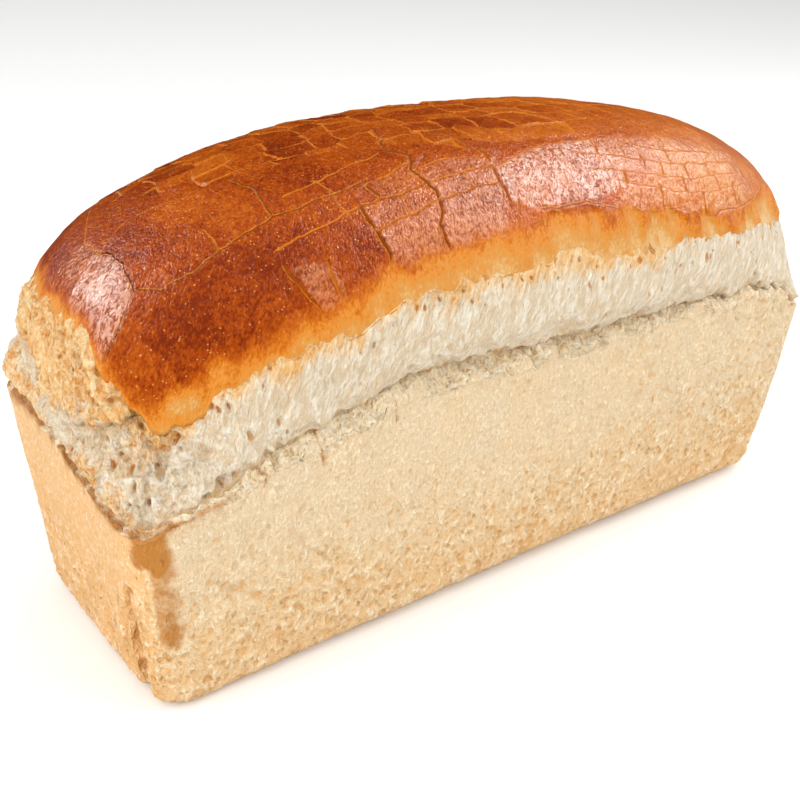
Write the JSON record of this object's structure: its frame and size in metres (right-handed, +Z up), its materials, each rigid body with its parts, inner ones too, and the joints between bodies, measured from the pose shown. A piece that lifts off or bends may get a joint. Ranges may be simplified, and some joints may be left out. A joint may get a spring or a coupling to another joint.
{
  "type": "white tin loaf",
  "caption": "White bread loaf baked in a rectangular tin: straight pale walls, a torn crumb band and a domed, cracked, glossy brown crust.",
  "frame": {"origin": "middle of the flat base, on the surface that the loaf stands on", "axes": "+Z up, X along the loaf's length, the shown long side faces -Y and the shown end faces -X"},
  "size_m": [0.2896, 0.117, 0.1536],
  "materials": {
    "baked_bread": "baked bread: matt straw-coloured walls, white crumb, glossy chestnut crust"
  },
  "bodies": {
    "root": {"tin_loaf": "baked_bread"}
  },
  "joints": []
}
